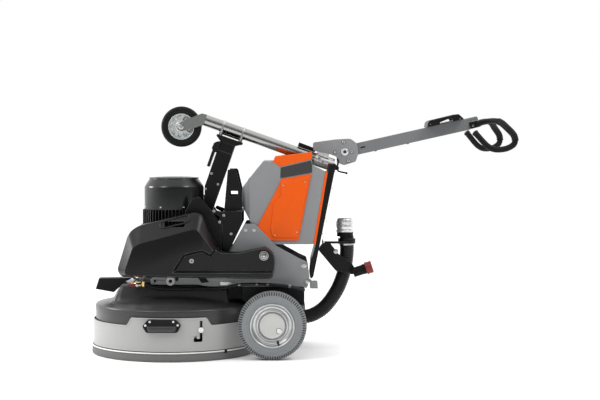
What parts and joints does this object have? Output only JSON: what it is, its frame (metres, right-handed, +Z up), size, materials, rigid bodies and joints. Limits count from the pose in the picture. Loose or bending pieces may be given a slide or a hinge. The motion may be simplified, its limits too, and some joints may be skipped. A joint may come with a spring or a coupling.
{
  "type": "walk-behind floor grinder",
  "caption": "Walk-behind planetary floor grinder with a floating dust shroud, swing-over weights, transport wheels, upright motor, electrical cabinet and tilting handle.",
  "frame": {"origin": "on the floor, under the middle of the bounding box", "axes": "+X to the rear where the operator stands, -X to the grinding head, +Z up, -Y the machine's left side"},
  "size_m": [2.1725, 0.88, 1.272],
  "materials": {
    "grey": "satin",
    "light_grey": "satin",
    "black": "powder-coated, fine texture",
    "cover": "moulded, fine texture",
    "motor": "painted black",
    "chrome": "polished",
    "steel": "brushed",
    "galvanised": "zinc-plated",
    "aluminium": "machined",
    "orange": "satin",
    "weight": "moulded, fine texture",
    "skirt": "matt",
    "hose": "matt",
    "grip": "soft, matt",
    "tyre": "grey non-marking",
    "black_tyre": "solid rubber",
    "brass": "satin",
    "red": "satin",
    "stop_red": "satin"
  },
  "bodies": {
    "chassis": {"chassis_plate_left": "grey", "chassis_plate_right": "grey", "chassis_deck": "black", "axle_frame": "black", "front_guard": "black", "head_cover": "cover", "motor_body": "motor", "motor_cowl": "cover", "mast": "black", "mast_yoke": "black", "work_lamp": "black", "lifting_yoke": "black", "top_tube": "chrome", "support_fork": "grey", "weight_shaft": "steel", "cabinet_shell": "grey", "side_panel_left": "orange", "side_panel_right": "orange", "cabinet_lid": "orange", "rear_frame": "orange", "rear_cover": "cover", "frequency_drive": "cover", "tube_sleeve": "galvanised", "joint_plate_left": "grey", "joint_plate_right": "grey", "pivot_bolt": "steel", "suction_hose": "hose", "hose_coupling": "galvanised", "hose_bracket": "black", "power_inlet": "red", "water_valve": "brass", "water_pipe": "hose"},
    "shroud": {"shroud_ring": "light_grey", "dust_skirt": "skirt", "shroud_grip_left": "black", "shroud_grip_right": "black"},
    "drum": {"planet_drum": "aluminium", "planet_belt": "hose"},
    "disc_1": {"tool_disc_1": "steel"},
    "disc_2": {"tool_disc_2": "steel"},
    "disc_3": {"tool_disc_3": "steel"},
    "rotor": {"motor_rotor": "steel", "motor_fan": "cover"},
    "weight_left": {"weight_left": "weight"},
    "weight_right": {"weight_right": "weight"},
    "wheel_left": {"tyre_left": "tyre", "rim_left": "steel"},
    "wheel_right": {"tyre_right": "tyre", "rim_right": "steel"},
    "support_wheel": {"support_tyre": "black_tyre", "support_rim": "galvanised"},
    "handle": {"handle_arm": "grey", "control_console": "cover", "handlebar_clamp": "black", "handlebar_left": "grip", "handlebar_right": "grip"},
    "stop_button": {"emergency_stop": "stop_red"},
    "tilt_lever": {"tilt_lock_lever": "black"},
    "valve_lever": {"valve_lever": "red"},
    "pedal": {"brake_pedal": "galvanised"}
  },
  "joints": [
    {"name": "shroud_float", "type": "slide", "parent": "chassis", "child": "shroud", "axis": [0, 0, 1], "range_m": [0, 0.045]},
    {"name": "drum_spin", "type": "hinge", "parent": "chassis", "child": "drum", "pos_m": [-0.66, 0, 0.17], "axis": [0, 0, 1], "continuous": true},
    {"name": "disc_1_spin", "type": "hinge", "parent": "drum", "child": "disc_1", "pos_m": [-0.66, 0.215, 0.1], "axis": [0, 0, 1], "continuous": true},
    {"name": "disc_2_spin", "type": "hinge", "parent": "drum", "child": "disc_2", "pos_m": [-0.8462, -0.1075, 0.1], "axis": [0, 0, 1], "continuous": true},
    {"name": "disc_3_spin", "type": "hinge", "parent": "drum", "child": "disc_3", "pos_m": [-0.4738, -0.1075, 0.1], "axis": [0, 0, 1], "continuous": true},
    {"name": "motor_spin", "type": "hinge", "parent": "chassis", "child": "rotor", "pos_m": [-0.66, 0, 0.6], "axis": [0, 0, 1], "continuous": true},
    {"name": "weight_left_swing", "type": "hinge", "parent": "chassis", "child": "weight_left", "pos_m": [-0.188, -0.265, 0.522], "axis": [0, 1, 0], "range_deg": [0, 180]},
    {"name": "weight_right_swing", "type": "hinge", "parent": "chassis", "child": "weight_right", "pos_m": [-0.188, 0.265, 0.522], "axis": [0, 1, 0], "range_deg": [0, 180]},
    {"name": "wheel_left_spin", "type": "hinge", "parent": "chassis", "child": "wheel_left", "pos_m": [-0.146, -0.33, 0.1725], "axis": [0, 1, 0], "continuous": true},
    {"name": "wheel_right_spin", "type": "hinge", "parent": "chassis", "child": "wheel_right", "pos_m": [-0.146, 0.33, 0.1725], "axis": [0, 1, 0], "continuous": true},
    {"name": "support_wheel_spin", "type": "hinge", "parent": "chassis", "child": "support_wheel", "pos_m": [-0.6205, 0, 1.167], "axis": [0, 1, 0], "continuous": true},
    {"name": "handle_tilt", "type": "hinge", "parent": "chassis", "child": "handle", "pos_m": [0.226, 0, 1.037], "axis": [0, 1, 0], "range_deg": [-50, 30]},
    {"name": "stop_push", "type": "slide", "parent": "handle", "child": "stop_button", "axis": [0.2181, 0, -0.9759], "range_m": [0, 0.005], "stiffness_N_per_m": 600, "springref_m": -0.002},
    {"name": "tilt_lever_turn", "type": "hinge", "parent": "chassis", "child": "tilt_lever", "pos_m": [0.186, -0.056, 0.951], "axis": [0, 1, 0], "range_deg": [-80, 0]},
    {"name": "valve_turn", "type": "hinge", "parent": "chassis", "child": "valve_lever", "pos_m": [-0.832, -0.206, 0.362], "axis": [0, 1, 0], "range_deg": [-90, 0]},
    {"name": "brake_press", "type": "hinge", "parent": "chassis", "child": "pedal", "pos_m": [0.03, -0.1625, 0.384], "axis": [0, 1, 0], "range_deg": [0, 18], "stiffness_Nm_per_rad": 12, "springref_deg": -8.59}
  ],
  "couplings": [
    {"joint": "motor_spin", "follows": "drum_spin", "ratio": 2.5},
    {"joint": "disc_1_spin", "follows": "drum_spin", "ratio": 5},
    {"joint": "disc_2_spin", "follows": "drum_spin", "ratio": 5},
    {"joint": "disc_3_spin", "follows": "drum_spin", "ratio": 5}
  ]
}
